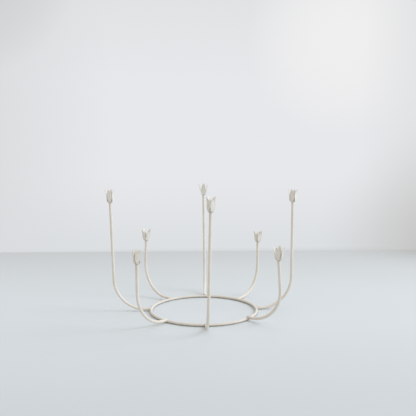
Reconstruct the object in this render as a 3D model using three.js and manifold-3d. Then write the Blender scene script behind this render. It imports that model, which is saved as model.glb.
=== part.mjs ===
// Candelabra for eight slim candles, in coated steel: one round ring lies on the table, and
// eight round rods start on it, run outwards, bend up and carry a cup of four tulip petals.
// Millimetres, +Z up. The origin is the middle of the ring on the table, and -Y is the front.

import * as THREE from 'three';
import { mergeVertices } from 'three/addons/utils/BufferGeometryUtils.js';
import Module from 'manifold-3d';

const wasm = await Module();
wasm.setup();

// Base ring
const RING_RADIUS = 150; // middle of the rod
const RING_ROD = 8;

// Arms
const ARM_ROD = 8;
const ARM_RUN = 15; // straight, from the middle of the ring's rod to where the bend starts
const BEND_RADIUS = 90; // middle of the rod
const TALL_TOP = 310; // end of the rod above the table
const SHORT_TOP = 171;
const TALL_LEAN = 2.5; // degrees outwards from upright
const SHORT_LEAN = -2; // bent a little past upright
const LAPPED_SEAT = 7; // a foot with its middle this high or more is coped to lie over the ring
const ASIDE = 3; // a lower foot stops beside the ring, this far out from the ring rod's middle

// Cups, pressed from sheet
const SHEET = 1.2;
const FLOOR_RADIUS = 3.2; // flat middle of the cup
const HEEL_RADIUS = 4.6; // bend from the floor into the petals, middle of the sheet
const WALL_LENGTH = 19.5; // nearly upright part of a petal
const WALL_ANGLE = 86; // degrees from flat
const FLARE_LENGTH = 15; // pointed end that curls outwards
const FLARE_ANGLE = 34; // degrees that it curls back by
const PETAL_WIDTH = 14.1;
const NECK_WIDTH = 5.4; // petal where it leaves the floor
const TIP_WIDTH = 1;
const DISH_RADIUS = 40; // dish across a petal's width

// Welds
const WELD_LENGTH = 9.2; // along the arm
const UNDER_WIDTH = 12.8; // weld under a lapped foot, across the arm
const UNDER_HEIGHT = 7.2;
const OVER_WIDTH = 13.4; // weld over a foot beside the ring, across the arm
const OVER_HEIGHT = 8.4;
const OVER_RISE = 1.6; // its middle above the middle of the foot
const COLLAR_DROP = 2.2; // weld under a cup, down the rod
const COLLAR_SPREAD = 1.6; // and out under the cup's floor

const CLEARANCE = 0.3; // between a piece and what it is joined to or stands over

// Facets
const RING_STEPS = 64;
const ROD_SIDES = 12;
const BEND_STEPS = 12;
const HEEL_STEPS = 3;
const WALL_STEPS = 4;
const FLARE_STEPS = 3;
const DISH_STEPS = 2;
const FLOOR_SIDES = 16;
const BEAD_SIDES = 10;
const BEAD_RINGS = 6;

// How each arm stands, as bent and welded by hand. In degrees, turn is how far it sits off the
// even spacing, lean is outwards and comes on top of its kind's own lean, tilt is how far it is
// rolled about its foot, and cupTurn turns its cup about the stem. In millimetres, rise comes on
// top of its kind's own height, and seat is the middle of its foot above the table.
const ARMS = [
  { name: 'right', tall: true, turn: 2.5, lean: -1.25, tilt: -4.25, rise: -2, seat: 4.5, cupTurn: 58 },
  { name: 'back_right', tall: false, turn: 0.5, lean: 3, tilt: -0.25, rise: -4.5, seat: 4.5, cupTurn: 66 },
  { name: 'back', tall: true, turn: -3.5, lean: 0, tilt: -0.75, rise: -0.5, seat: 8.5, cupTurn: 3 },
  { name: 'back_left', tall: false, turn: -2.75, lean: -2.75, tilt: -1.5, rise: 3.75, seat: 9, cupTurn: 0 },
  { name: 'left', tall: true, turn: -2, lean: -0.5, tilt: 1.75, rise: -0.5, seat: 5.5, cupTurn: 86 },
  { name: 'front_left', tall: false, turn: 1.5, lean: 1.25, tilt: 1, rise: 2.5, seat: 7.5, cupTurn: 58 },
  { name: 'front', tall: true, turn: -0.5, lean: 0.75, tilt: -1, rise: 2.5, seat: 6, cupTurn: 33 },
  { name: 'front_right', tall: false, turn: 3.5, lean: -0.5, tilt: 2.75, rise: 6.5, seat: 9, cupTurn: 18 },
];

// Coating
const CREAM = 0xe6e0d2;
const ROD_ROUGHNESS = 0.55;
const CUP_ROUGHNESS = 0.5;
const WELD_ROUGHNESS = 0.6;

const radians = THREE.MathUtils.degToRad;

function coated(roughness) {
  return new THREE.MeshStandardMaterial({ color: CREAM, roughness, metalness: 0 });
}

// Corner radius of a polygon whose flats lie on a circle of the given radius.
function cornerRadius(flatRadius, sides) {
  return flatRadius / Math.cos(Math.PI / sides);
}

// Section of a round rod, with one flat facing down.
function rodSection(diameter, sides) {
  const points = [];
  for (let side = 0; side < sides; side += 1) {
    const angle = (2 * Math.PI * (side + 0.5)) / sides;
    const corner = cornerRadius(diameter / 2, sides);
    points.push(new THREE.Vector2(corner * Math.cos(angle), corner * Math.sin(angle)));
  }
  return points;
}

// Solids for cutting and joining

function solidFrom(geometry) {
  const bare = geometry.clone();
  bare.deleteAttribute('normal');
  bare.deleteAttribute('uv');
  const merged = mergeVertices(bare, 1e-4);
  return new wasm.Manifold(
    new wasm.Mesh({
      numProp: 3,
      vertProperties: new Float32Array(merged.attributes.position.array),
      triVerts: new Uint32Array(merged.index.array),
    })
  );
}

function geometryFrom(solid) {
  const mesh = solid.getMesh();
  const geometry = new THREE.BufferGeometry();
  geometry.setAttribute('position', new THREE.BufferAttribute(mesh.vertProperties, 3));
  geometry.setIndex(new THREE.BufferAttribute(mesh.triVerts, 1));
  geometry.computeVertexNormals();
  return geometry;
}

// Stock that is straight before it is bent. Each leg has a length and the angle that it turns
// through, so the line of an arm and the line of a petal are both written as a list of legs.
// The result gives the place at a distance along the stock, and which way the stock heads.
function bentLine(legs) {
  return (distance) => {
    let out = 0;
    let up = 0;
    let heading = 0;
    let left = distance;
    for (const leg of legs) {
      const part = Math.min(left, leg.length);
      const turned = (leg.turn * part) / leg.length;
      const chord = turned === 0 ? part : (part * Math.sin(turned / 2)) / (turned / 2);
      out += chord * Math.cos(heading + turned / 2);
      up += chord * Math.sin(heading + turned / 2);
      heading += turned;
      left -= part;
    }
    return { out, up, heading };
  };
}

// Distances along bent stock at which its facets meet: each leg gives its own number of steps.
function stationsAlong(legs) {
  const stations = [0];
  let reached = 0;
  for (const leg of legs) {
    for (let step = 1; step <= leg.steps; step += 1) {
      stations.push(reached + (leg.length * step) / leg.steps);
    }
    reached += leg.length;
  }
  return stations;
}

// The middle line of a rod, with its stations where the rod bends and none on the straights.
class RodLine extends THREE.Curve {
  constructor(line, stations) {
    super();
    this.line = line;
    this.stations = stations;
  }

  placeAt(share) {
    const last = this.stations.length - 1;
    const station = Math.min(Math.floor(share * last + 1e-9), last - 1);
    const part = share * last - station;
    const from = this.stations[station];
    return this.line(from + part * (this.stations[station + 1] - from));
  }

  getPoint(share, target = new THREE.Vector3()) {
    const place = this.placeAt(share);
    return target.set(place.out, 0, place.up);
  }

  getPointAt(share, target) {
    return this.getPoint(share, target);
  }

  getTangentAt(share, target = new THREE.Vector3()) {
    const { heading } = this.placeAt(share);
    return target.set(Math.cos(heading), 0, Math.sin(heading));
  }
}

// Base ring

function ringGeometry(diameter) {
  const section = rodSection(diameter, ROD_SIDES);
  const profile = section.map((p) => new THREE.Vector2(RING_RADIUS + p.x, p.y));
  profile.push(profile[0].clone());
  const ring = new THREE.LatheGeometry(profile, RING_STEPS);
  ring.rotateX(Math.PI / 2);
  return ring;
}

// Arms

function isLapped(arm) {
  return arm.seat >= LAPPED_SEAT;
}

function armShape(arm) {
  const lean = radians((arm.tall ? TALL_LEAN : SHORT_LEAN) + arm.lean);
  const turn = Math.PI / 2 - lean;
  const top = (arm.tall ? TALL_TOP : SHORT_TOP) + arm.rise;
  const stem = (top - arm.seat - BEND_RADIUS * (1 - Math.cos(turn))) / Math.sin(turn);
  const legs = [
    { length: ARM_RUN, turn: 0, steps: 1 },
    { length: BEND_RADIUS * turn, turn, steps: BEND_STEPS },
    { length: stem, turn: 0, steps: 1 },
  ];
  const line = bentLine(legs);
  const stations = stationsAlong(legs);
  stations[0] = isLapped(arm) ? 0 : ASIDE;
  return { line, stations, end: line(stations.at(-1)) };
}

// The rod of an arm, with room to spare all round and at the foot where it is a cutter.
function rodAlong(shape, spare) {
  const section = new THREE.Shape(rodSection(ARM_ROD + 2 * spare, ROD_SIDES));
  const stations = [shape.stations[0] - spare, ...shape.stations.slice(1)];
  return new THREE.ExtrudeGeometry(section, {
    steps: stations.length - 1,
    extrudePath: new RodLine(shape.line, stations),
  });
}

// Weld outside the ring. Under a lapped foot it runs up both sides of the rod from below, and at
// a foot beside the ring it lies in the groove on top and runs down both sides.
function footWeld(arm, ring, rod) {
  const lowest = UNDER_HEIGHT / 2 + CLEARANCE - arm.seat;
  const under = { width: UNDER_WIDTH, height: UNDER_HEIGHT, middle: Math.max(-ARM_ROD / 2, lowest) };
  const over = { width: OVER_WIDTH, height: OVER_HEIGHT, middle: OVER_RISE };
  const weld = isLapped(arm) ? under : over;
  const bead = new THREE.SphereGeometry(1, BEAD_SIDES, BEAD_RINGS);
  bead.rotateX(Math.PI / 2);
  bead.scale(WELD_LENGTH / 2, weld.width / 2, weld.height / 2);
  bead.translate(RING_ROD / 2, 0, weld.middle);
  return solidFrom(bead).subtract(ring).subtract(rod);
}

// Cups

// A petal is half as wide as this at a distance along it: it widens up the wall, and from its
// widest place the edges run together to the point.
function petalHalfWidth(distance, widest, length) {
  if (distance < widest) {
    const share = THREE.MathUtils.smoothstep(distance, FLOOR_RADIUS, widest);
    return THREE.MathUtils.lerp(NECK_WIDTH, PETAL_WIDTH, share) / 2;
  }
  const share = (distance - widest) / (length - widest);
  return THREE.MathUtils.lerp(PETAL_WIDTH, TIP_WIDTH, share * share) / 2;
}

// One petal: a flat strip is given its leaf outline, bent up its line and dished across.
function petalGeometry() {
  const wallTurn = radians(WALL_ANGLE);
  const legs = [
    { length: FLOOR_RADIUS, turn: 0, steps: 1 },
    { length: HEEL_RADIUS * wallTurn, turn: wallTurn, steps: HEEL_STEPS },
    { length: WALL_LENGTH, turn: 0, steps: WALL_STEPS },
    { length: FLARE_LENGTH, turn: -radians(FLARE_ANGLE), steps: FLARE_STEPS },
  ];
  const line = bentLine(legs);
  const stations = stationsAlong(legs);
  const length = stations.at(-1);
  const widest = length - FLARE_LENGTH - WALL_LENGTH / 2;
  const petal = new THREE.BoxGeometry(1, 1, 1, DISH_STEPS, stations.length - 1, 1);
  const point = petal.attributes.position;
  for (let index = 0; index < point.count; index += 1) {
    const distance = stations[Math.round((point.getY(index) + 0.5) * (stations.length - 1))];
    const across = 2 * point.getX(index) * petalHalfWidth(distance, widest, length);
    const dished = THREE.MathUtils.smoothstep(distance, FLOOR_RADIUS, widest);
    const rise = (dished * across * across) / (2 * DISH_RADIUS);
    const outside = SHEET * point.getZ(index) - rise;
    const place = line(distance);
    const out = place.out + outside * Math.sin(place.heading);
    const up = place.up - outside * Math.cos(place.heading);
    point.setXYZ(index, out, across, up);
  }
  return petal;
}

function cupSolid() {
  const floor = new THREE.CylinderGeometry(FLOOR_RADIUS, FLOOR_RADIUS, SHEET, FLOOR_SIDES);
  floor.rotateX(Math.PI / 2);
  const petal = petalGeometry();
  let cup = solidFrom(floor);
  for (let quarter = 0; quarter < 4; quarter += 1) {
    cup = cup.add(solidFrom(petal.clone().rotateZ((quarter * Math.PI) / 2)));
  }
  return cup;
}

// Weld collar round the end of a rod, under the floor of its cup.
function collarGeometry() {
  const inside = cornerRadius(cornerRadius(ARM_ROD / 2, ROD_SIDES) + CLEARANCE, ROD_SIDES);
  const profile = [
    new THREE.Vector2(inside, -COLLAR_DROP),
    new THREE.Vector2(inside + COLLAR_SPREAD, 0),
    new THREE.Vector2(inside, 0),
    new THREE.Vector2(inside, -COLLAR_DROP),
  ];
  const collar = new THREE.LatheGeometry(profile, ROD_SIDES);
  collar.rotateX(Math.PI / 2);
  return collar;
}

// Assembly

const candelabra = new THREE.Group();

const ringMesh = new THREE.Mesh(ringGeometry(RING_ROD), coated(ROD_ROUGHNESS));
ringMesh.name = 'base_ring';
ringMesh.position.z = RING_ROD / 2;
candelabra.add(ringMesh);

const ringCutter = solidFrom(ringGeometry(RING_ROD + 2 * CLEARANCE));
const cup = cupSolid();

ARMS.forEach((arm, index) => {
  const shape = armShape(arm);

  const spoke = new THREE.Group();
  spoke.rotation.z = radians((360 / ARMS.length) * index + arm.turn);
  candelabra.add(spoke);

  const foot = new THREE.Group();
  foot.position.set(RING_RADIUS, 0, arm.seat);
  foot.rotation.x = radians(arm.tilt);
  spoke.add(foot);
  candelabra.updateMatrixWorld(true);

  const toFoot = new THREE.Matrix4().copy(foot.matrixWorld).invert();
  const ringThere = ringCutter.transform(toFoot.multiply(ringMesh.matrixWorld).toArray());

  const rod = solidFrom(rodAlong(shape, 0)).subtract(ringThere);
  const rodMesh = new THREE.Mesh(geometryFrom(rod), coated(ROD_ROUGHNESS));
  rodMesh.name = `arm_${arm.name}`;
  foot.add(rodMesh);

  const rodCutter = solidFrom(rodAlong(shape, CLEARANCE));
  const weld = footWeld(arm, ringThere, rodCutter);
  const weldMesh = new THREE.Mesh(geometryFrom(weld), coated(WELD_ROUGHNESS));
  weldMesh.name = `ring_weld_${arm.name}`;
  foot.add(weldMesh);

  const head = new THREE.Group();
  head.position.set(shape.end.out, 0, shape.end.up);
  head.rotation.y = Math.PI / 2 - shape.end.heading;
  foot.add(head);

  const collarMesh = new THREE.Mesh(collarGeometry(), coated(WELD_ROUGHNESS));
  collarMesh.name = `cup_weld_${arm.name}`;
  head.add(collarMesh);

  const cupMesh = new THREE.Mesh(geometryFrom(cup), coated(CUP_ROUGHNESS));
  cupMesh.name = `cup_${arm.name}`;
  cupMesh.position.z = CLEARANCE + SHEET / 2;
  cupMesh.rotation.z = radians(arm.cupTurn);
  head.add(cupMesh);
});

export default candelabra;
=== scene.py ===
# %% [markdown]
# # A candelabra of bent rod with tulip cups
# The real object is welded from steel rod: a flat ring lies on the table, and rods start on it,
# run outwards, bend up and carry small cups cut and bent from sheet. All of it is powder coated
# in cream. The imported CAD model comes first, because it fixes where every piece sits. Each piece
# made in this lesson stands for one of its nodes and stays in its place.

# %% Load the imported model
import math
from collections import namedtuple

import bmesh
import bpy
from mathutils import Matrix, Vector


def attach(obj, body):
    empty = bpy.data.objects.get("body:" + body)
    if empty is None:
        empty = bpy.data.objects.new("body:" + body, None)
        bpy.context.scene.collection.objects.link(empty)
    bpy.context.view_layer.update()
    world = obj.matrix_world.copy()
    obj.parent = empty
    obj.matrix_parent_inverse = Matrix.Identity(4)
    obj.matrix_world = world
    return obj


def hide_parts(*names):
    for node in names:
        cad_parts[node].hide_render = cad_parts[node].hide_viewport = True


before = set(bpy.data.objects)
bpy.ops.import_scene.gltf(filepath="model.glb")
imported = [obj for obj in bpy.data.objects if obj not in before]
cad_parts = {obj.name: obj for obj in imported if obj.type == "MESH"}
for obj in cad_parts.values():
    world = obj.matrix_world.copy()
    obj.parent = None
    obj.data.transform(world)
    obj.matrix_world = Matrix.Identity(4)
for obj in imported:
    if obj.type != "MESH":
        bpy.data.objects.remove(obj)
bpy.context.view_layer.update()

print("CAD nodes:", len(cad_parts))

# %% [markdown]
# ## The camera
# A picture of a thing this size is taken from about two paces away with a normal lens. The
# place, the pitch and the slight roll were worked out from the ring's ellipse and the lengths
# of the rods, so the render can be laid over the photograph. A camera made from three plain
# turns (yaw, pitch, roll) is easier to check than one aimed at a point.

# %% Camera
CAMERA_PLACE = (-0.0817, -1.6541, 0.4688)  # metres
CAMERA_YAW = -3.233  # degrees, to the right of straight ahead
CAMERA_PITCH = -5.993
CAMERA_ROLL = 0.017
LENS = 51.40  # millimetres
SENSOR_WIDTH = 36.0
NEAREST_SEEN = 0.02  # metres
FURTHEST_SEEN = 50.0

camera_data = bpy.data.cameras.new("camera")
camera_data.lens = LENS
camera_data.sensor_width = SENSOR_WIDTH
camera_data.clip_start = NEAREST_SEEN
camera_data.clip_end = FURTHEST_SEEN
camera = bpy.data.objects.new("camera", camera_data)
camera.matrix_world = (
    Matrix.Translation(CAMERA_PLACE)
    @ Matrix.Rotation(math.radians(CAMERA_YAW), 4, "Z")
    @ Matrix.Rotation(math.radians(90 + CAMERA_PITCH), 4, "X")
    @ Matrix.Rotation(math.radians(CAMERA_ROLL), 4, "Z")
)
bpy.context.scene.collection.objects.link(camera)
bpy.context.scene.camera = camera
bpy.context.scene.view_settings.view_transform = "Standard"
print("camera at", CAMERA_PLACE, "lens", LENS)

# %% [markdown]
# ## The coat
# Powder paint is sprayed on dry and melted in an oven. It never comes out as one flat colour:
# it keeps a fine orange-peel skin about a millimetre across, its tone drifts a little with its
# thickness, a few grains of dust are baked into it, and it is thin and a touch greyer on sharp
# edges. Shade is painted into its colour as well, darker in corners where shade falls. Noise
# nodes in object space make all of these at their real size, so no picture is needed. The
# colours come first. They are written as a screen shows them, and turned into the linear values
# that a shader wants.

# %% Cream colours
MM = 0.001  # the pieces are worked out in millimetres


def linear(red, green, blue):
    """A screen colour from 0 to 255 as a linear colour."""
    def one(value):
        value /= 255
        return value / 12.92 if value <= 0.04045 else ((value + 0.055) / 1.055) ** 2.4
    return (one(red), one(green), one(blue), 1.0)


CREAM = linear(234, 227, 219)
CREAM_DEEP = linear(227, 218, 206)
CREAM_THIN = linear(208, 202, 192)  # over a sharp edge, and where a coat has gone dull
CREAM_PALE = linear(240, 250, 244)
SHADE_AND_DUST_TONE = linear(176, 166, 148)  # painted shade in the corners, and the real colour of grains of dust
# painted contact shadow along the bottom of the ring, where it lies on the table
CONTACT_SHADOW_TONE = linear(84, 72, 60)
print("cream for the shader:", [round(value, 3) for value in CREAM])

# %% [markdown]
# A material is a graph of nodes: a few sources, such as noise or a value painted on the mesh,
# are stretched, mixed and wired to the sockets of a shader. It could be drawn by hand in the
# node editor. In code each kind of node gets a small helper that makes it, wires it and gives
# back its output, and then a recipe reads from top to bottom.

# %% Node helpers
def wire(tree, source, target):
    tree.links.new(source, target)


def make_node(tree, kind, **settings):
    node = tree.nodes.new(kind)
    for name, value in settings.items():
        setattr(node, name, value)
    return node


def noise(tree, place, per_metre, detail, roughness=0.5):
    node = make_node(tree, "ShaderNodeTexNoise")
    node.inputs["Scale"].default_value = per_metre
    node.inputs["Detail"].default_value = detail
    node.inputs["Roughness"].default_value = roughness
    wire(tree, place, node.inputs["Vector"])
    return node.outputs["Fac"]


def spread(tree, value, low, high, to_low=0.0, to_high=1.0):
    """Stretch the part of a value between low and high over a new range."""
    node = make_node(tree, "ShaderNodeMapRange", clamp=True)
    node.inputs["From Min"].default_value = low
    node.inputs["From Max"].default_value = high
    node.inputs["To Min"].default_value = to_low
    node.inputs["To Max"].default_value = to_high
    wire(tree, value, node.inputs["Value"])
    return node.outputs["Result"]


def math_node(tree, operation, first, second):
    node = make_node(tree, "ShaderNodeMath", operation=operation)
    for socket, value in zip(node.inputs, (first, second)):
        if isinstance(value, (int, float)):
            socket.default_value = value
        else:
            wire(tree, value, socket)
    return node.outputs["Value"]


def times(tree, first, second):
    return math_node(tree, "MULTIPLY", first, second)


# %% Colour helpers
def blend_colour(tree, amount, first, second):
    node = make_node(tree, "ShaderNodeMix", data_type="RGBA")
    wire(tree, amount, node.inputs["Factor"])
    for socket, colour in ((node.inputs["A"], first), (node.inputs["B"], second)):
        if isinstance(colour, tuple):
            socket.default_value = colour
        else:
            wire(tree, colour, socket)
    return node.outputs["Result"]


def wash(tree, under, value, start, end, colour, bend=1.0):
    """Lay a colour over another: none where the value is at start, and all of it at end. A bend
    over 1 makes it come in late."""
    amount = spread(tree, value, start, end)
    if bend != 1.0:
        amount = math_node(tree, "POWER", amount, bend)
    return blend_colour(tree, amount, under, colour)


def painted_value(tree, name):
    node = make_node(tree, "ShaderNodeAttribute", attribute_name=name)
    return node.outputs["Fac"]


def split_place(tree, place):
    node = make_node(tree, "ShaderNodeSeparateXYZ")
    wire(tree, place, node.inputs["Vector"])
    return node.outputs


# %% [markdown]
# The colour is laid on in thin washes, as paint is: the slow drift of the cream, paler and
# deeper clouds in it, the thin edges, a shift of the whole coat, painted shade in the nooks, and
# last the dust. Two values painted on the mesh say where the thin edges are and how much shade is
# painted into the corners. Noise breaks up both of them, because no real edge is worn evenly.

# %% Colour of the coat
DRIFT_PER_METRE = 28
CLOUD_PER_METRE = 150
CELLS_PER_METRE = 160  # a grain of dust lies in the middle of only a few of these cells
GRAIN_RADIUS = 0.10  # as a share of a cell
GRAIN_CORE = 0.05
RAREST = (0.86, 0.90)  # a cell's own random value must be this high for a grain


def dust(tree, place):
    cells = make_node(tree, "ShaderNodeTexVoronoi", feature="F1")
    cells.inputs["Scale"].default_value = CELLS_PER_METRE
    wire(tree, place, cells.inputs["Vector"])
    lot = make_node(tree, "ShaderNodeSeparateColor")
    wire(tree, cells.outputs["Color"], lot.inputs["Color"])
    dot = spread(tree, cells.outputs["Distance"], GRAIN_RADIUS, GRAIN_CORE)
    return times(tree, dot, spread(tree, lot.outputs["Red"], *RAREST))


def coat_colour(tree, drift, cloud, shade_and_dullness, dot, tone, painted_shade_tone):
    """tone is an amount and a colour that the whole coat is shifted towards."""
    colour = wash(tree, CREAM, drift, 0.35, 0.68, CREAM_DEEP)
    clouded = times(tree, spread(tree, cloud, 0.50, 0.80), 0.35)
    colour = blend_colour(tree, clouded, colour, CREAM_DEEP)
    thin = times(tree, painted_value(tree, "thin"), spread(tree, cloud, 0.3, 0.65))
    colour = blend_colour(tree, times(tree, thin, 0.75), colour, CREAM_THIN)
    amount, towards = tone
    shifted = spread(tree, drift, 0.2, 0.8, amount, amount * 0.8)
    colour = blend_colour(tree, shifted, colour, towards)
    # painted shade: corners and creases are made darker, where shade falls
    colour = blend_colour(tree, times(tree, shade_and_dullness, 0.6), colour, painted_shade_tone)
    # the grains of dust are real dark specks, in the same tone
    return blend_colour(tree, times(tree, dot, 0.5), colour, SHADE_AND_DUST_TONE)


# %% [markdown]
# The skin of the coat is at most a fifth of a millimetre high, too fine for the mesh, so a bump
# node takes it up: the orange peel, the slow swellings of a thick coat, and the same grains of
# dust that darken the colour. The gloss is a satin one, and drier in the nooks.

# %% Skin and gloss of the coat
SWELL_PER_METRE = 220
GRAIN_HEIGHT = 0.06  # millimetres


def coat_normal(tree, place, dot, peel_size, peel_depth, lumps):
    peel = noise(tree, place, 1 / (peel_size * MM), 2.0)
    swell = noise(tree, place, SWELL_PER_METRE, 1.0)
    height = math_node(tree, "ADD", times(tree, peel, peel_depth), times(tree, swell, lumps))
    height = math_node(tree, "ADD", height, times(tree, dot, GRAIN_HEIGHT))
    bump = make_node(tree, "ShaderNodeBump")
    bump.inputs["Distance"].default_value = MM
    bump.inputs["Strength"].default_value = 1.0
    wire(tree, height, bump.inputs["Height"])
    return bump.outputs["Normal"]


def powder_coat(name, roughness, peel_size, peel_depth, lumps,
                tone=(0.0, CREAM), painted_shade_tone=SHADE_AND_DUST_TONE):
    """Sizes in millimetres. lumps is the height of the swellings."""
    material = bpy.data.materials.new(name)
    material.use_nodes = True
    tree = material.node_tree
    shader = tree.nodes["Principled BSDF"]
    place = make_node(tree, "ShaderNodeTexCoord").outputs["Object"]

    drift = noise(tree, place, DRIFT_PER_METRE, 3.0)
    cloud = noise(tree, place, CLOUD_PER_METRE, 4.0, 0.6)
    # how much shade is painted here, and how much duller the gloss is
    shade_and_dullness = times(tree, painted_value(tree, "shade_and_dullness"), spread(tree, cloud, 0.25, 0.6))
    dot = dust(tree, place)
    colour = coat_colour(tree, drift, cloud, shade_and_dullness, dot, tone, painted_shade_tone)
    wire(tree, colour, shader.inputs["Base Color"])

    gloss = spread(tree, cloud, 0.3, 0.7, roughness - 0.05, roughness + 0.07)
    gloss = math_node(tree, "ADD", gloss, times(tree, shade_and_dullness, 0.12))
    wire(tree, gloss, shader.inputs["Roughness"])
    shader.inputs["Specular IOR Level"].default_value = 0.45
    shader.inputs["Coat Weight"].default_value = 0.12
    shader.inputs["Coat Roughness"].default_value = 0.35

    normal = coat_normal(tree, place, dot, peel_size, peel_depth, lumps)
    wire(tree, normal, shader.inputs["Normal"])
    print("material", name, "with", len(tree.nodes), "nodes")
    return material


# %% [markdown]
# The same recipe suits rod, sheet and weld with other numbers. The sheet of the cups takes more
# powder than round rod does, and is paler for it. The ring is the part that is handled and lies
# on the table: its coat is a touch duller, and a dark painted shadow runs along its bottom where
# it touches the table. The welds are lumpy, because the ripples and spatter under the paint show
# through.

# %% Four coats
# roughness, then size and depth of the orange peel and height of the swellings in millimetres
COAT = {
    # the ring's last value is the tone of its painted contact shadow
    "ring": powder_coat("cream_coat_ring", 0.40, 1.0, 0.05, 0.12, (0.35, CREAM_THIN), CONTACT_SHADOW_TONE),
    "arms": powder_coat("cream_coat_rod", 0.38, 0.9, 0.04, 0.10),
    "cups": powder_coat("cream_coat_sheet", 0.36, 0.8, 0.03, 0.08, (0.15, CREAM_PALE)),
    "welds": powder_coat("cream_coat_weld", 0.46, 0.7, 0.06, 0.20),
}

# %% [markdown]
# ## From points to pieces
# Rods, beads and collars are all the same kind of shape: a section carried along a line. One
# helper joins a list of rings of points into a closed skin. It is plain mesh code, because a
# curve with a bevel can't be coped over another rod or change its section along the way. Others
# turn the skin into an object, paint a value on it, and give it its coat, its body and the node
# that it stands for.

# %% Mesh helpers
def skin(rings, closed=False):
    """A mesh through rings of points. Open skins get a flat end, which is a fan of corners."""
    mesh = bmesh.new()
    rows = [[mesh.verts.new(point) for point in ring] for ring in rings]
    around = len(rows[0])
    spans = len(rows) if closed else len(rows) - 1
    for index in range(spans):
        near, far = rows[index], rows[(index + 1) % len(rows)]
        for corner in range(around):
            following = (corner + 1) % around
            mesh.faces.new((near[corner], near[following], far[following], far[corner]))
    if not closed:
        mesh.faces.new(list(reversed(rows[0])))
        mesh.faces.new(rows[-1])
    bmesh.ops.recalc_face_normals(mesh, faces=mesh.faces[:])
    return mesh


def settle(name, mesh, place, sharp_angle=40):
    """Turn a bmesh in millimetres into an object in metres, at its place in the frame."""
    data = bpy.data.meshes.new(name)
    mesh.to_mesh(data)
    mesh.free()
    data.transform(Matrix.Scale(MM, 4) @ place)
    piece = bpy.data.objects.new(name, data)
    bpy.context.scene.collection.objects.link(piece)
    for face in data.polygons:
        face.use_smooth = True
    data.set_sharp_from_angle(angle=math.radians(sharp_angle))
    return piece


def paint(piece, name, amount):
    """Store a value from 0 to 1 on each corner point of the mesh."""
    layer = piece.data.attributes.new(name, "FLOAT", "POINT")
    values = [amount(vertex.co) for vertex in piece.data.vertices]
    layer.data.foreach_set("value", values)


def hand_over(piece, node, slot):
    piece.data.materials.clear()
    piece.data.materials.append(COAT[slot])
    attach(piece, "root")
    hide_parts(node)


# %% [markdown]
# ## The base ring
# On the real object an 8 mm rod is rolled to a circle and its ends are butt welded and ground
# flush. A torus primitive would give the circle but not the ground weld, so the section is
# carried round by hand, and swells by a tenth of a millimetre where the ends meet at the back.

# %% Ring
RING_RADIUS = 150.0
RING_ROD = 8.0
RING_STEPS = 288
RING_SIDES = 28
BUTT_AZIMUTH = math.radians(111)  # between the back arm and the one on its left
BUTT_LENGTH = 3.5
BUTT_RISE = 0.12
RESTING_HEIGHT = 4.0  # the painted contact shadow reaches up to here from where the ring lies on the table


def circle(radius, count):
    return [
        (radius * math.cos(2 * math.pi * step / count), radius * math.sin(2 * math.pi * step / count))
        for step in range(count)
    ]


def ring_section(azimuth, radius, around):
    outwards = Vector((math.cos(azimuth), math.sin(azimuth), 0))
    return [
        outwards * (RING_RADIUS + x) + Vector((0, 0, RING_ROD / 2 + y))
        for x, y in circle(radius, around)
    ]


def ring_rings():
    rings = []
    for step in range(RING_STEPS):
        azimuth = 2 * math.pi * step / RING_STEPS
        away = RING_RADIUS * abs(math.remainder(azimuth - BUTT_AZIMUTH, 2 * math.pi))
        swelling = BUTT_RISE * math.exp(-((away / BUTT_LENGTH) ** 2))
        rings.append(ring_section(azimuth, RING_ROD / 2 - BUTT_RISE + swelling, RING_SIDES))
    return rings


def painted_contact_shadow(point):
    """All of the painted shadow up to half of the resting height, and none above the whole of it."""
    return min(1.0, 2 * max(0.0, 1 - point.z / (RESTING_HEIGHT * MM)))


ring = settle("base_ring_rod", skin(ring_rings(), closed=True), Matrix())
# a painted contact shadow along the bottom of the ring
paint(ring, "shade_and_dullness", painted_contact_shadow)
hand_over(ring, "base_ring", "ring")
print("ring:", len(ring.data.polygons), "faces")

# %% [markdown]
# ## The arms
# Each arm is one rod, of the same 8 mm stock as the ring: a short straight run, one bend, and a
# long straight stem. It is drawn as it is made, as stock with bends in it, so the length of the
# stem follows from the height of the cup. No two arms are bent and welded quite alike, and that
# is what makes the piece look made by hand, so each has its own turn, lean, tilt and height.

# %% How each arm stands
ARM_ROD = 8.0
ARM_RUN = 15.0
BEND_RADIUS = 90.0
TOP = {"tall": 310.0, "short": 171.0}  # where the stem ends, over the table
LEAN = {"tall": 2.5, "short": -2.0}  # degrees outwards from upright

# turn, lean, tilt and cup turn in degrees, rise and seat in millimetres
Stand = namedtuple("Stand", "kind turn lean tilt cup_turn rise seat")
ARMS = {
    "right": Stand("tall", 2.5, -1.25, -4.25, 58, -2, 4.5),
    "back_right": Stand("short", 0.5, 3, -0.25, 66, -4.5, 4.5),
    "back": Stand("tall", -3.5, 0, -0.75, 3, -0.5, 8.5),
    "back_left": Stand("short", -2.75, -2.75, -1.5, 0, 3.75, 9),
    "left": Stand("tall", -2, -0.5, 1.75, 86, -0.5, 5.5),
    "front_left": Stand("short", 1.5, 1.25, 1, 58, 2.5, 7.5),
    "front": Stand("tall", -0.5, 0.75, -1, 33, 2.5, 6),
    "front_right": Stand("short", 3.5, -0.5, 2.75, 18, 6.5, 9),
}


def walk(legs, distance):
    """Where a distance along bent stock comes out: outwards, up, and the heading there."""
    out = up = heading = 0.0
    for length, turn in legs:
        part = min(distance, length)
        angle = turn * part / length
        chord = part if angle == 0 else part * math.sin(angle / 2) / (angle / 2)
        out += chord * math.cos(heading + angle / 2)
        up += chord * math.sin(heading + angle / 2)
        heading += angle
        distance -= part
    return out, up, heading


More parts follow.
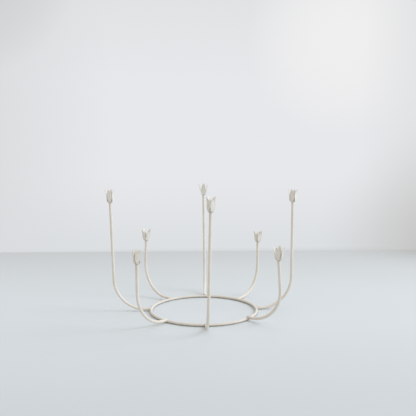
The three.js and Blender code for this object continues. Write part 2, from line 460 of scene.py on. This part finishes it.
def arm_legs(stand):
    """The length and the turn of the run, the bend and the stem."""
    turn = math.radians(90 - LEAN[stand.kind] - stand.lean)
    bent_up = BEND_RADIUS * (1 - math.cos(turn))
    stem = (TOP[stand.kind] + stand.rise - stand.seat - bent_up) / math.sin(turn)
    return [(ARM_RUN, 0.0), (BEND_RADIUS * turn, turn), (stem, 0.0)]


def arm_azimuth(index, stand):
    return math.radians(360 / len(ARMS) * index + stand.turn)


def foot_place(index, stand):
    spoke = Matrix.Rotation(arm_azimuth(index, stand), 4, "Z")
    lift = Matrix.Translation((RING_RADIUS, 0, stand.seat))
    return spoke @ lift @ Matrix.Rotation(math.radians(stand.tilt), 4, "X")


def head_place(foot, legs):
    out, up, heading = walk(legs, sum(length for length, _ in legs))
    return foot @ Matrix.Translation((out, 0, up)) @ Matrix.Rotation(math.pi / 2 - heading, 4, "Y")


LEGS = {arm: arm_legs(stand) for arm, stand in ARMS.items()}
FEET = {arm: foot_place(index, stand) for index, (arm, stand) in enumerate(ARMS.items())}
HEADS = {arm: head_place(FEET[arm], LEGS[arm]) for arm in ARMS}
for arm, legs in LEGS.items():
    print(f"arm {arm}: {sum(length for length, _ in legs):.0f} mm of rod")

# %% [markdown]
# The rod is a circle carried along its bent line, with its rings of points close together in
# the bend and far apart where it is straight. Half of the feet lie over the ring and end above
# its middle. The others are welded on lower, beside the ring, and stop at its side. The coat
# rounds the edge of a cut end, so the circle gets a little smaller there.

# %% Bent rod
ROUND = 0.5  # rounding at a cut end
END_STEPS = ((0.0, ROUND), (0.12, 0.25), (ROUND, 0.0))  # along the rod, and in from its side
LAPPED_SEAT = 7.0  # a foot with its middle this high or more lies over the ring
ASIDE = 3.0  # a lower foot stops this far out from the middle of the ring's rod
BEND_STEPS = 44
STRAIGHT_STEP = 25  # millimetres between two rings of points where nothing bends
ROD_SIDES = 24


def rod_start(seat):
    return 0.0 if seat >= LAPPED_SEAT else ASIDE


def rod_rings(legs, start):
    length = sum(leg[0] for leg in legs)
    stations = [(start + along, inwards) for along, inwards in END_STEPS]
    reached = 0.0
    for leg_length, turn in legs:
        steps = BEND_STEPS if turn else max(3, round(leg_length / STRAIGHT_STEP))
        for step in range(1, steps + 1):
            stations.append((reached + leg_length * step / steps, 0.0))
        reached += leg_length
    stations[-1] = (length - ROUND, 0.0)
    stations += [(length - along, inwards) for along, inwards in reversed(END_STEPS[:2])]
    rings = []
    for along, inwards in stations:
        out, up, heading = walk(legs, along)
        side = Vector((0, 1, 0))
        rise = Vector((-math.sin(heading), 0, math.cos(heading)))
        section = circle(ARM_ROD / 2 - inwards, ROD_SIDES)
        rings.append([Vector((out, 0, up)) + side * x + rise * y for x, y in section])
    return rings


# %% [markdown]
# The foot is coped, which means that its end is cut to the ring's round. A hole saw does that
# in the shop, and a boolean with a short stretch of the ring does it here. It could be drawn
# point by point instead, but a foot that is tilted would need a new formula each time.

# %% Cope
COPE_REACH = 6  # degrees of the ring to both sides of a foot, in the cutter
COPE_SIDES = 32


def cutter_for_foot(index, stand):
    """The stretch of the ring's rod that the foot is coped over."""
    middle = arm_azimuth(index, stand)
    rings = [
        ring_section(middle + math.radians(step), RING_ROD / 2, COPE_SIDES)
        for step in range(-COPE_REACH, COPE_REACH + 1)
    ]
    return settle("cutter", skin(rings), Matrix())


def bake(piece):
    """Make the shape that the modifiers give the piece its own."""
    shaped = bpy.data.meshes.new_from_object(
        piece.evaluated_get(bpy.context.evaluated_depsgraph_get())
    )
    piece.modifiers.clear()
    old = piece.data
    piece.data = shaped
    bpy.data.meshes.remove(old)


def carve(piece, cutter):
    cut = piece.modifiers.new("cope", "BOOLEAN")
    cut.operation = "DIFFERENCE"
    cut.solver = "EXACT"
    cut.object = cutter
    bake(piece)
    bpy.data.objects.remove(cutter)


# %% [markdown]
# Now the eight arms are bent, coped and painted. Shade is painted on where a rod ends in a weld:
# it is darkest there and fades along the rod.

# %% Arms
FOOT_SHADE_REACH = 6.0  # the painted shade reaches this far along the rod from its foot
HEAD_SHADE_REACH = 5.0  # and this far from its cup


def near_an_end(point, foot_point, head_point):
    return max(
        math.exp(-((point - foot_point).length / (FOOT_SHADE_REACH * MM)) ** 2),
        math.exp(-((point - head_point).length / (HEAD_SHADE_REACH * MM)) ** 2),
    )


for index, (arm, stand) in enumerate(ARMS.items()):
    start = rod_start(stand.seat)
    rod = settle(f"rod_{arm}", skin(rod_rings(LEGS[arm], start)), FEET[arm], sharp_angle=50)
    carve(rod, cutter_for_foot(index, stand))
    foot_point = FEET[arm] @ Vector((start, 0, 0)) * MM
    head_point = HEADS[arm].to_translation() * MM
    paint(rod, "shade_and_dullness", lambda point: near_an_end(point, foot_point, head_point))
    hand_over(rod, f"arm_{arm}", "arms")
print("arms:", len(ARMS), "the last one with", len(rod.data.polygons), "faces")

# %% [markdown]
# ## Welds at the feet
# A lapped foot is welded to the ring from below and up both of its sides. A foot beside the ring
# has its weld in the groove on top and down both sides. A weld is a fillet: it runs along the
# line where the two rods meet, it has a toe on each of them, and it carries the ripples of the
# pool that froze behind the torch. It could be a blob that cuts into both rods, but then its
# toes would come out by chance. Here the meeting line is worked out first, from the two rods as
# cylinders.

# %% The line where foot and ring meet
TOE_DEPTH = 0.25  # how far the toes of a weld reach into the rods
OVER_REACH = math.radians(112)  # how far a weld on top runs down each side of the rod
UNDER_SHARE = 0.97  # of the way up to where a lapped foot leaves the ring


def weld_run(seat):
    """Where a weld's middle is round the foot, and how far it reaches to both sides of that."""
    if seat < LAPPED_SEAT:
        return math.pi, OVER_REACH
    top_of_ring = (seat - RING_ROD) / (ARM_ROD / 2)
    return 0.0, UNDER_SHARE * math.acos(top_of_ring)


def meeting_point(angle, seat):
    """On the line where foot and ring meet; angle is round the foot, and 0 is at its bottom."""
    y = ARM_ROD / 2 * math.sin(angle)
    z = -ARM_ROD / 2 * math.cos(angle)
    top = math.sqrt((RING_ROD / 2) ** 2 - rod_start(seat) ** 2)
    soft = 0.1 + 0.1 * rod_start(seat)  # keeps the line from turning sharply at the foot's end
    over_top = z + seat - RING_ROD / 2 - top
    height = top - soft * math.log1p(math.exp(-over_top / soft))
    return Vector((math.sqrt((RING_ROD / 2) ** 2 - height ** 2), y, z)), height


def on_foot(point):
    flat = Vector((0, point.y, point.z)).normalized() * (ARM_ROD / 2 - TOE_DEPTH)
    return Vector((point.x, flat.y, flat.z))


def on_ring(point, foot):
    """Drop a point of the foot's own frame on to the ring, which is round and may be tilted there."""
    there = foot @ point
    middle = Vector((there.x, there.y, 0)).normalized() * RING_RADIUS
    middle.z = RING_ROD / 2
    return foot.inverted() @ (middle + (there - middle).normalized() * (RING_ROD / 2 - TOE_DEPTH))


# %% [markdown]
# Then a rounded fillet is laid along the line. At each step its two toes lie square to the line
# on the foot and on the ring, and its crown stands proud between them.

# %% Fillet
BEAD_LEG = 2.9  # at its middle; it tapers towards its ends
BEAD_CROWN = 0.62  # how proud it stands, as a share of the leg
BEAD_ROOT = 0.8  # how far its inner edge lies behind the meeting line
BEAD_SPANS = 10  # across its face
BEAD_STEPS = 150
BEAD_RIPPLES = 15
RIPPLE_HEIGHT = 0.07  # as a share of the leg
END_TAPER = 0.06  # share of the taper's curve that is cut off at each end
ANGLE_STEP = 0.01  # radians to both sides, to find which way the line runs


def drawn_curve(start, pull, end, spans):
    """Points on a smooth curve from start to end that leaves both of them towards pull."""
    shares = [step / spans for step in range(spans + 1)]
    return [start * (1 - t) ** 2 + pull * (2 * t * (1 - t)) + end * t ** 2 for t in shares]


def fillet_ring(angle, leg, ripple, seat, foot):
    here, height = meeting_point(angle, seat)
    ahead, _ = meeting_point(angle + ANGLE_STEP, seat)
    behind, _ = meeting_point(angle - ANGLE_STEP, seat)
    along = (ahead - behind).normalized()
    foot_out = Vector((0, math.sin(angle), -math.cos(angle)))
    ring_out = Vector((here.x, 0, height)).normalized()
    up_foot = foot_out.cross(along)
    up_foot *= 1 if up_foot.x > 0 else -1
    down_ring = ring_out.cross(along)
    down_ring *= 1 if down_ring.dot(foot_out) > 0 else -1
    toe_foot = on_foot(here + up_foot * leg)
    toe_ring = on_ring(here + down_ring * leg, foot)
    outwards = (foot_out + ring_out).normalized()
    crown = (toe_foot + toe_ring) / 2 + outwards * leg * (BEAD_CROWN + ripple)
    return drawn_curve(toe_foot, crown, toe_ring, BEAD_SPANS) + [here - outwards * BEAD_ROOT]


def foot_bead(seat, foot):
    rings = []
    middle, reach = weld_run(seat)
    for step in range(BEAD_STEPS + 1):
        share = step / BEAD_STEPS
        angle = middle + (2 * share - 1) * reach
        taper = math.sin(math.pi * (END_TAPER + (1 - 2 * END_TAPER) * share)) ** 0.5
        ripple = RIPPLE_HEIGHT * abs(math.sin(math.pi * BEAD_RIPPLES * share))
        rings.append(fillet_ring(angle, BEAD_LEG * taper, ripple, seat, foot))
    return skin(rings)


# %% Ring welds
# painted shade over the whole weld, which fills the corner between foot and ring; its gloss is duller
# too
BEAD_SHADE = 0.55

for arm, stand in ARMS.items():
    weld = foot_bead(stand.seat, FEET[arm])
    bead = settle(f"bead_ring_{arm}", weld, FEET[arm], sharp_angle=60)
    paint(bead, "shade_and_dullness", lambda point: BEAD_SHADE)
    hand_over(bead, f"ring_weld_{arm}", "welds")
print("ring welds:", len(ARMS), "with", len(bead.data.polygons), "faces each")

# %% [markdown]
# ## Tulip cups
# A cup starts as a flat cross cut from 1.2 mm sheet: a small square with a leaf on each side.
# Each leaf is bent up round a heel, stands nearly upright and curls outwards at its point. The
# model is made the same way. A flat grid is given its outline, then each point is moved along
# the bent line. Drawing the bent shape itself would be quicker to start with, but its flat size
# would come out by chance, and no shop could cut it.

# %% Cup blank
SHEET = 1.2
FLOOR_RADIUS = 3.2
HEEL_RADIUS = 4.6
WALL_LENGTH = 19.5
WALL_ANGLE = 86.0
FLARE_LENGTH = 13.6
FLARE_ANGLE = 34.0
PETAL_WIDTH = 13.3
NECK_WIDTH = 5.4
TIP_WIDTH = 1.6
DISH_RADIUS = 40.0
PETAL_LENGTH = FLOOR_RADIUS + HEEL_RADIUS * math.radians(WALL_ANGLE) + WALL_LENGTH + FLARE_LENGTH
WIDEST = PETAL_LENGTH - FLARE_LENGTH - WALL_LENGTH / 2


def smoothstep(value, low, high):
    share = min(1.0, max(0.0, (value - low) / (high - low)))
    return share * share * (3 - 2 * share)


def petal_half_width(distance):
    if distance < WIDEST:
        share = smoothstep(distance, FLOOR_RADIUS, WIDEST)
        return (NECK_WIDTH + (PETAL_WIDTH - NECK_WIDTH) * share) / 2
    share = (distance - WIDEST) / (PETAL_LENGTH - WIDEST)
    return (PETAL_WIDTH + (TIP_WIDTH - PETAL_WIDTH) * share ** 2) / 2


def petal_point(distance, across, heel, pull):
    """across runs from -1 to 1. heel is the share of the full heel that this cup has."""
    lean, curl, sway = pull
    wall = math.radians(WALL_ANGLE - lean)
    legs = [
        (FLOOR_RADIUS, 0.0),
        (HEEL_RADIUS * heel * math.radians(WALL_ANGLE), wall),
        (WALL_LENGTH + HEEL_RADIUS * (1 - heel), 0.0),
        (FLARE_LENGTH, -math.radians(FLARE_ANGLE + curl)),
    ]
    out, up, heading = walk(legs, distance)
    upper = max(0.0, (distance - WIDEST) / (PETAL_LENGTH - WIDEST))
    sideways = across * petal_half_width(distance)
    dished = smoothstep(distance, FLOOR_RADIUS, WIDEST)
    rise = dished * sideways ** 2 / (2 * DISH_RADIUS)
    place = Vector((out - rise * math.sin(heading), sideways, up + rise * math.cos(heading)))
    place.y += sway * upper ** 2
    return place


print("flat blank:", round(2 * PETAL_LENGTH, 1), "mm from tip to tip")

# %% [markdown]
# The floor and its four petals are one sheet, so their grids share the points where they meet.
# While the grid is made, each point gets its value of thin coat and of painted shade, because here
# it is still known how far from the edge and from the floor it lies.

# %% Cup sheet
ACROSS = 8  # faces across a petal
PETAL_STEPS = 24
EDGE_FADE = 0.55  # the thin coat of an edge ends this far in from it
HEEL_SHADE = 0.6  # how much shade is painted at the floor and the heel
HEEL_FADE = 8.0


def cup_floor(mesh, shade_and_dullness):
    half = NECK_WIDTH / 2
    grid = [
        [mesh.verts.new((half * (2 * i / ACROSS - 1), half * (2 * j / ACROSS - 1), 0))
         for i in range(ACROSS + 1)]
        for j in range(ACROSS + 1)
    ]
    for row in grid:
        for vertex in row:
            vertex[shade_and_dullness] = HEEL_SHADE
    for j in range(ACROSS):
        for i in range(ACROSS):
            mesh.faces.new((grid[j][i], grid[j][i + 1], grid[j + 1][i + 1], grid[j + 1][i]))
    return grid


def floor_sides(grid):
    """The points on each side of the floor, in the order in which a petal goes on from them."""
    last = ACROSS
    return (
        [grid[j][last] for j in range(last + 1)],
        [grid[last][last - i] for i in range(last + 1)],
        [grid[last - j][0] for j in range(last + 1)],
        [grid[0][i] for i in range(last + 1)],
    )


def cup_sheet(heel, pulls):
    """The middle of the sheet."""
    mesh = bmesh.new()
    thin = mesh.verts.layers.float.new("thin")
    shade_and_dullness = mesh.verts.layers.float.new("shade_and_dullness")
    start = NECK_WIDTH / 2
    for quarter, near in enumerate(floor_sides(cup_floor(mesh, shade_and_dullness))):
        turn = Matrix.Rotation(quarter * math.pi / 2, 3, "Z")
        for step in range(1, PETAL_STEPS + 1):
            distance = start + (PETAL_LENGTH - start) * step / PETAL_STEPS
            far = []
            for i in range(ACROSS + 1):
                across = 2 * i / ACROSS - 1
                vertex = mesh.verts.new(turn @ petal_point(distance, across, heel, pulls[quarter]))
                from_edge = (1 - abs(across)) * petal_half_width(distance)
                from_edge = min(from_edge, PETAL_LENGTH - distance)
                vertex[thin] = math.exp(-((from_edge / EDGE_FADE) ** 2))
                vertex[shade_and_dullness] = HEEL_SHADE * math.exp(-((distance / HEEL_FADE) ** 2))
                far.append(vertex)
            for i in range(ACROSS):
                mesh.faces.new((near[i], near[i + 1], far[i + 1], far[i]))
            near = far
    bmesh.ops.recalc_face_normals(mesh, faces=mesh.faces[:])
    return mesh


# %% [markdown]
# A solidify modifier gives the sheet its thickness, so the wall is even everywhere. The bevel
# is the soft edge that the coat leaves, and one round of subdivision takes the facets out. Deep
# inside a cup shade is painted on, and the gloss is duller there. Which faces look inwards is only
# known once the sheet has its thickness, so that painted shade is laid on last.

# %% Thickness and inside
SOFT_EDGE = 0.32
INSIDE_FROM = 4.0  # above the floor of the cup, up to where the painted shade inside is deepest
INSIDE_TOP = 26.0  # and from where there is none
UPWARDS_SHARE = 0.3  # how much a face that looks up counts as one that looks inwards


def finish_sheet(piece):
    thickness = piece.modifiers.new("sheet", "SOLIDIFY")
    thickness.thickness = SHEET * MM
    thickness.offset = 0.0
    thickness.use_even_offset = True
    edge = piece.modifiers.new("soft_edge", "BEVEL")
    edge.width = SOFT_EDGE * MM
    edge.segments = 2
    edge.limit_method = "ANGLE"
    edge.angle_limit = math.radians(50)
    smooth = piece.modifiers.new("smooth", "SUBSURF")
    smooth.levels = smooth.render_levels = 1
    bake(piece)


def shade_inside(piece, cup_place):
    """Raise the painted shade on the faces that look into the cup, most of all deep down."""
    to_cup = (Matrix.Scale(MM, 4) @ cup_place).inverted()
    shade_and_dullness = piece.data.attributes["shade_and_dullness"].data
    for vertex, painted in zip(piece.data.vertices, shade_and_dullness):
        here = to_cup @ vertex.co
        facing = (to_cup.to_3x3() @ vertex.normal).normalized()
        outwards = Vector((here.x, here.y, 0)).normalized()
        inside = smoothstep(facing.z * UPWARDS_SHARE - facing.dot(outwards), 0.0, 0.5)
        depth = 1 - smoothstep(here.z, INSIDE_FROM, INSIDE_TOP)
        painted.value = max(painted.value, inside * depth)


# %% [markdown]
# Hands have pulled the petals about a little, so each has its own lean, curl and sway. They were
# set cup by cup against the photograph. The first petal points along the arm's own direction
# plus the turn of the cup, and the others follow anticlockwise.

# %% Cups
CLEARANCE = 0.3  # between the end of the stem and the floor of the cup

# name: share of the full heel, then for each petal its lean outwards and extra curl in degrees,
# and how far its tip is swayed to the side in millimetres
PULLS = {
    "right": (1.0, ((3, 4, 0), (2, -8, 0), (0, 6, 0), (-1.5, 14, 0))),
    "back_right": (0.95, ((1, 6, 0), (3, 12, 0), (1, 10, -1), (3, 14, 0))),
    "back": (0.8, ((-1, 0, 0), (9, -8, 1.5), (3, 0, 1.5), (6, -4, -1.5))),
    "back_left": (1.0, ((2, 6, 0), (6, 4, -1.5), (3, 12, 2), (5, 6, 0))),
    "left": (1.0, ((0, 8, -1.2), (-3, 16, 1), (0, 0, -1.6), (0.4, 2, 0))),
    "front_left": (1.0, ((-2, -6, 2.5), (-4, 10, 0), (-2, 0, -1), (1, -26, 0))),
    "front": (0.8, ((-3, 10, 0.5), (1, 2, 0), (0, 6, -1), (0, 10, 0))),
    "front_right": (0.9, ((10, 8, 0), (4, 8, -1), (3, 6, 0), (2, 12, -1))),
}

for arm, stand in ARMS.items():
    on_stem = Matrix.Translation((0, 0, CLEARANCE + SHEET / 2))
    twist = Matrix.Rotation(math.radians(stand.cup_turn), 4, "Z")
    cup_place = HEADS[arm] @ on_stem @ twist
    cup = settle(f"tulip_{arm}", cup_sheet(*PULLS[arm]), cup_place, sharp_angle=180)
    finish_sheet(cup)
    shade_inside(cup, cup_place)
    hand_over(cup, f"cup_{arm}", "cups")
print("cups:", len(ARMS), "with", len(cup.data.polygons), "faces in the last one")

# %% [markdown]
# ## Welds under the cups
# The stem's end is welded to the floor of its cup all the way round. The collar is a concave
# fillet, thinner than the one at the foot. Nothing cuts across it, so it needs no meeting line:
# one profile is turned round the stem, with a ripple.

# %% Collars
COLLAR_DROP = 2.2  # down the stem
COLLAR_SPREAD = 1.5  # out under the floor
COLLAR_WAIST = 0.35  # the share of both at which the fillet is hollowed
COLLAR_SPANS = 7
COLLAR_STEPS = 88
COLLAR_RIPPLES = 11
COLLAR_BITE = 0.1  # how far it reaches into the stem and the floor
COLLAR_ROOT = 0.4  # its inner edge, in from the side of the stem
# painted shade over the whole collar, in the corner under the cup; its gloss is duller too
COLLAR_SHADE = 0.5


def collar():
    rings = []
    for step in range(COLLAR_STEPS):
        angle = 2 * math.pi * step / COLLAR_STEPS
        ripple = 1 + RIPPLE_HEIGHT * math.sin(COLLAR_RIPPLES * angle)
        top = CLEARANCE + COLLAR_BITE
        lower = Vector((ARM_ROD / 2 - COLLAR_BITE, 0, -COLLAR_DROP * ripple))
        upper = Vector((ARM_ROD / 2 + COLLAR_SPREAD * ripple, 0, top))
        waist = Vector((
            ARM_ROD / 2 + COLLAR_WAIST * COLLAR_SPREAD, 0, -COLLAR_WAIST * COLLAR_DROP
        ))
        profile = drawn_curve(lower, waist, upper, COLLAR_SPANS)
        profile.append(Vector((ARM_ROD / 2 - COLLAR_ROOT, 0, top)))
        profile.append(Vector((ARM_ROD / 2 - COLLAR_ROOT, 0, -COLLAR_DROP)))
        turn = Matrix.Rotation(angle, 3, "Z")
        rings.append([turn @ point for point in profile])
    return skin(rings, closed=True)


for arm in ARMS:
    piece = settle(f"bead_cup_{arm}", collar(), HEADS[arm], sharp_angle=60)
    paint(piece, "shade_and_dullness", lambda point: COLLAR_SHADE)
    hand_over(piece, f"cup_weld_{arm}", "welds")
print("cup welds:", len(ARMS), "with", len(piece.data.polygons), "faces each")

# %% [markdown]
# ## The table
# The candelabra stands on a pale matt table top. It is a wide plane here, whose far edge runs a
# little askew, and it isn't part of the object. Real daylight falls off over it in ways that
# depend on the whole room. Instead of building the room, the paint is made a shade darker towards
# the far edge, towards the front and in the far right corner.

# %% Table top
TABLE_X = 2.6
TABLE_FRONT = -2.4
TABLE_BACK = 0.962  # behind the middle of the ring
TABLE_SKEW = -0.02  # how much the far edge drops back per metre to the right

table_mesh = bmesh.new()
corners = (
    (-TABLE_X, TABLE_FRONT),
    (TABLE_X, TABLE_FRONT),
    (TABLE_X, TABLE_BACK + TABLE_SKEW * TABLE_X),
    (-TABLE_X, TABLE_BACK - TABLE_SKEW * TABLE_X),
)
table_mesh.faces.new([table_mesh.verts.new((x, y, 0.0)) for x, y in corners])
table_data = bpy.data.meshes.new("table_top")
table_mesh.to_mesh(table_data)
table_mesh.free()
table = bpy.data.objects.new("table_top", table_data)
bpy.context.scene.collection.objects.link(table)
print("table top:", 2 * TABLE_X, "m wide, far edge", TABLE_BACK, "m behind the ring's middle")

# %% Table paint
TABLE_PALE = linear(211, 216, 219)
TABLE_PALEST = linear(214, 219, 222)
# where each wash starts and ends along Y in metres, its tone, and how late it comes in
TABLE_WASHES = (
    (0.15, TABLE_BACK, linear(199, 201, 202), 1.2),  # towards the far edge
    (-0.15, -0.8, linear(203, 209, 213), 1.0),  # towards the front
    (-0.5, -0.68, linear(204, 209, 213), 1.0),  # at the near edge of the picture
)
CORNER_PLACE = (1.1, 0.95, 0.0)  # the darkest place in the picture, at the far right
CORNER_REACH = 0.75
CORNER_TONE = linear(160, 158, 154)

table_paint = bpy.data.materials.new("pale_table")
table_paint.use_nodes = True
tree = table_paint.node_tree
shader = tree.nodes["Principled BSDF"]
place = make_node(tree, "ShaderNodeTexCoord").outputs["Object"]
tone = wash(tree, TABLE_PALE, noise(tree, place, 2.2, 4.0), 0.3, 0.7, TABLE_PALEST)
along = split_place(tree, place)["Y"]
for start, end, colour, bend in TABLE_WASHES:
    tone = wash(tree, tone, along, start, end, colour, bend)
away = make_node(tree, "ShaderNodeVectorMath", operation="DISTANCE")
wire(tree, place, away.inputs[0])
away.inputs[1].default_value = CORNER_PLACE
tone = wash(tree, tone, away.outputs["Value"], CORNER_REACH, 0.0, CORNER_TONE, 3.0)
wire(tree, tone, shader.inputs["Base Color"])
shader.inputs["Roughness"].default_value = 0.65
shader.inputs["Specular IOR Level"].default_value = 0.25
table_data.materials.append(table_paint)
print("material", table_paint.name, "with", len(tree.nodes), "nodes")

# %% [markdown]
# ## The room
# A real wall behind the table would hide the object when it is looked at from behind, so the
# room is left to the world's colour, which never gets in the way. It has two sides. What lights
# the object is a soft room, brighter and cooler towards the window on the right. What the
# camera sees where it meets nothing is a pale wall, whose slow changes of tone are painted light
# and shade.

# %% Light of the room
ROOM_TOWARDS = (0.80, 0.45, 0.40)  # where most of the daylight comes from
ROOM_DARK = 0.60
ROOM_BRIGHT = 1.34
ROOM_WARM = linear(233, 226, 213)
ROOM_COOL = linear(227, 230, 234)


def steer(tree, direction, towards):
    """How much a direction points towards another, from -1 to 1."""
    node = make_node(tree, "ShaderNodeVectorMath", operation="DOT_PRODUCT")
    wire(tree, direction, node.inputs[0])
    node.inputs[1].default_value = Vector(towards).normalized()
    return node.outputs["Value"]


world = bpy.data.worlds.new("pale_room")
world.use_nodes = True
bpy.context.scene.world = world
tree = world.node_tree
direction = make_node(tree, "ShaderNodeTexCoord").outputs["Generated"]
room = tree.nodes["Background"]
daylight = steer(tree, direction, ROOM_TOWARDS)
wire(tree, wash(tree, ROOM_WARM, daylight, -0.6, 0.6, ROOM_COOL), room.inputs["Color"])
wire(tree, spread(tree, daylight, -0.9, 0.9, ROOM_DARK, ROOM_BRIGHT), room.inputs["Strength"])
print("room light from", ROOM_DARK, "to", ROOM_BRIGHT)

# %% Wall
WALL_FOOT = linear(211, 213, 215)
# how far up each wash of painted light and shade on the wall starts and ends, as rise over depth, and
# its tone
WALL_WASHES = (
    (-0.181, -0.173, linear(221, 224, 227)),  # just over the table's far edge
    (-0.165, -0.05, linear(231, 232, 235)),
    (0.10, 0.32, linear(221, 223, 224)),
)
SHALLOWEST = 0.6  # least depth, so that the rise stays small to the sides
GLOW_TOWARDS = (0.27, 0.95, 0.17)  # painted light on the wall, brightest at the upper right
GLOW_TONE = linear(239, 239, 239)
# painted shade towards the left and the right sides of the wall
LEFT_TONE = linear(217, 219, 221)
RIGHT_TONE = linear(223, 224, 225)
DARK_TOWARDS = (0.467, 0.864, -0.189)  # painted shade, darkest at the lower right
DARK_TONE = linear(190, 190, 187)
SHADE_TOWARDS = (-0.313, 0.909, 0.276)  # painted shade in a darker corner at the upper left
SHADE_TONE = linear(206, 208, 210)

parts = split_place(tree, direction)
depth = math_node(tree, "MAXIMUM", math_node(tree, "ABSOLUTE", parts["Y"], 0.0), SHALLOWEST)
height = math_node(tree, "DIVIDE", parts["Z"], depth)
tone = WALL_FOOT
for start, end, colour in WALL_WASHES:
    tone = wash(tree, tone, height, start, end, colour)
tone = wash(tree, tone, steer(tree, direction, GLOW_TOWARDS), 0.988, 1.0, GLOW_TONE)
tone = wash(tree, tone, parts["X"], -0.10, -0.32, LEFT_TONE)
tone = wash(tree, tone, parts["X"], 0.30, 0.44, RIGHT_TONE)
tone = wash(tree, tone, steer(tree, direction, DARK_TOWARDS), 0.963, 1.0, DARK_TONE, 2.0)
tone = wash(tree, tone, steer(tree, direction, SHADE_TOWARDS), 0.985, 1.0, SHADE_TONE)
wall = make_node(tree, "ShaderNodeBackground")
wire(tree, tone, wall.inputs["Color"])
seen = make_node(tree, "ShaderNodeMixShader")
wire(tree, make_node(tree, "ShaderNodeLightPath").outputs["Is Camera Ray"], seen.inputs[0])
wire(tree, room.outputs[0], seen.inputs[1])
wire(tree, wall.outputs[0], seen.inputs[2])
wire(tree, seen.outputs[0], tree.nodes["World Output"].inputs["Surface"])
print("world", world.name, "with", len(tree.nodes), "nodes")

# %% [markdown]
# ## The window
# One large area light, high up on the right and a little to the front, gives the rods their
# bright and shaded sides and the faint shadows on the table. A sun lamp would be simpler, but
# its shadows have hard edges, and those in the photograph are soft after a few centimetres.

# %% Window
WINDOW_PLACE = (9.6, -1.0, 7.0)
WINDOW_AIM = (0, 0, 0.15)
WINDOW_SIZE = 5.0
WINDOW_WATTS = 505
WINDOW_COLOUR = (0.93, 0.97, 1.0)

window_data = bpy.data.lights.new("window", "AREA")
window_data.shape = "SQUARE"
window_data.size = WINDOW_SIZE
window_data.energy = WINDOW_WATTS
window_data.color = WINDOW_COLOUR
window = bpy.data.objects.new("window", window_data)
aim = (Vector(WINDOW_AIM) - Vector(WINDOW_PLACE)).to_track_quat("-Z", "Y")
window.matrix_world = Matrix.Translation(WINDOW_PLACE) @ aim.to_matrix().to_4x4()
bpy.context.scene.collection.objects.link(window)
print("window:", WINDOW_WATTS, "W,", round(Vector(WINDOW_PLACE).length, 1), "m away")
